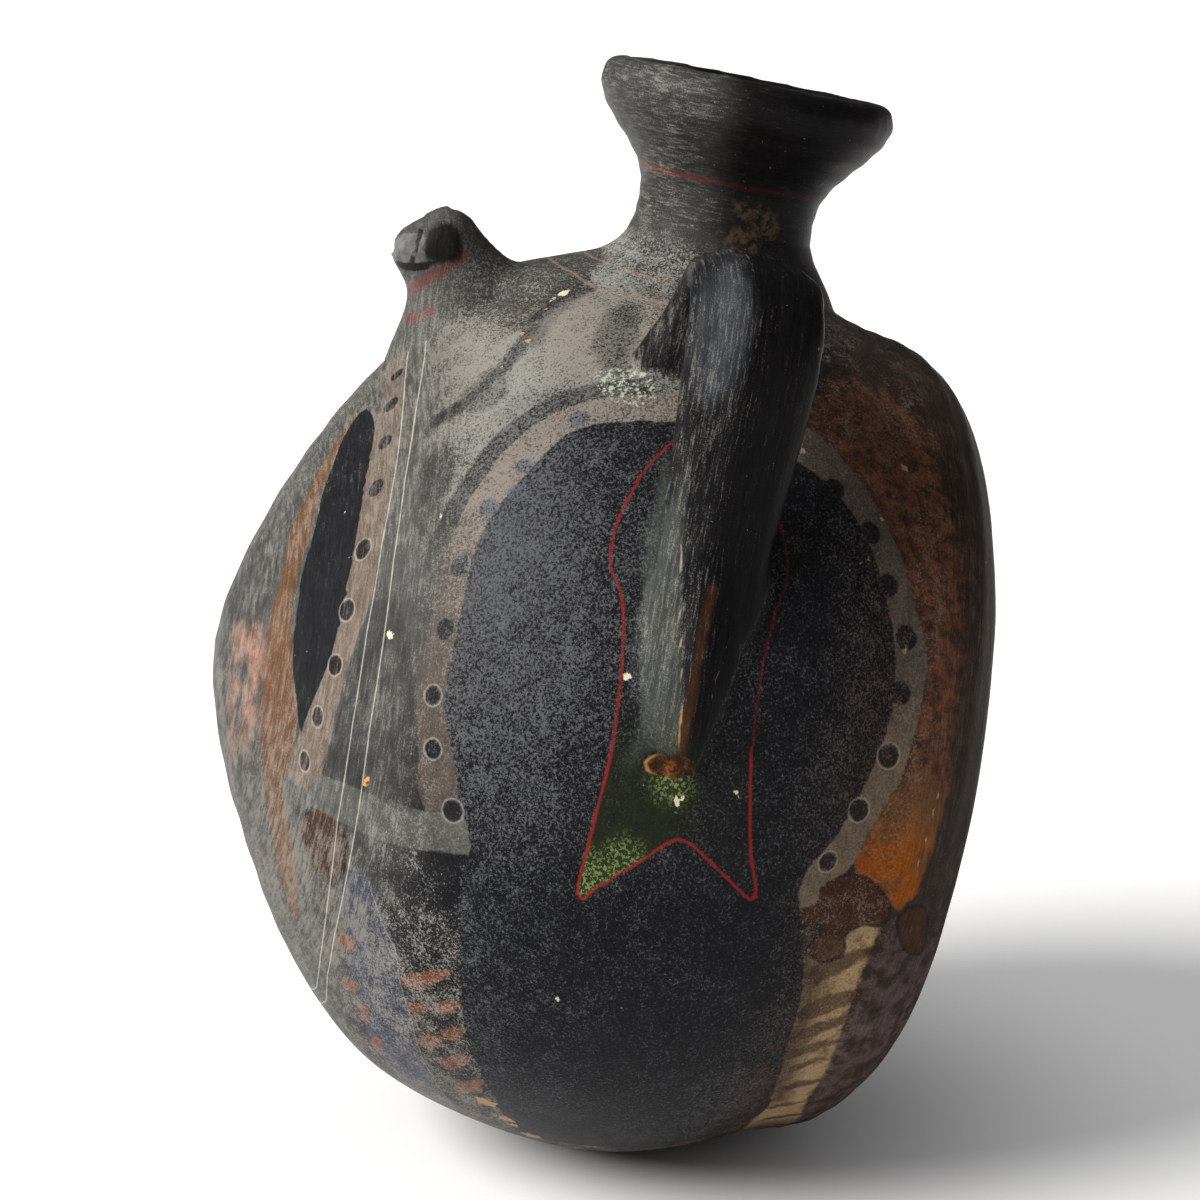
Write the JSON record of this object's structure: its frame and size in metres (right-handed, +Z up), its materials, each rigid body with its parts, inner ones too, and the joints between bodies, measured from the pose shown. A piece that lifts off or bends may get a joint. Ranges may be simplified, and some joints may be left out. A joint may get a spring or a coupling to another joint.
{
  "type": "pilgrim flask",
  "caption": "Hollow earthenware pilgrim flask with a pointed drum body, trumpet neck, strap handle and broken shoulder lug.",
  "frame": {"origin": "centre of the small flat worn on the underside, where the flask rests", "axes": "+Z up, -Y towards the pointed nose, +X towards the strap handle; the drum's axis is tipped 10.8 degrees nose-up"},
  "size_m": [0.2636, 0.2158, 0.3167],
  "materials": {
    "clay": "matte"
  },
  "bodies": {
    "root": {"flask": "clay"}
  },
  "joints": []
}
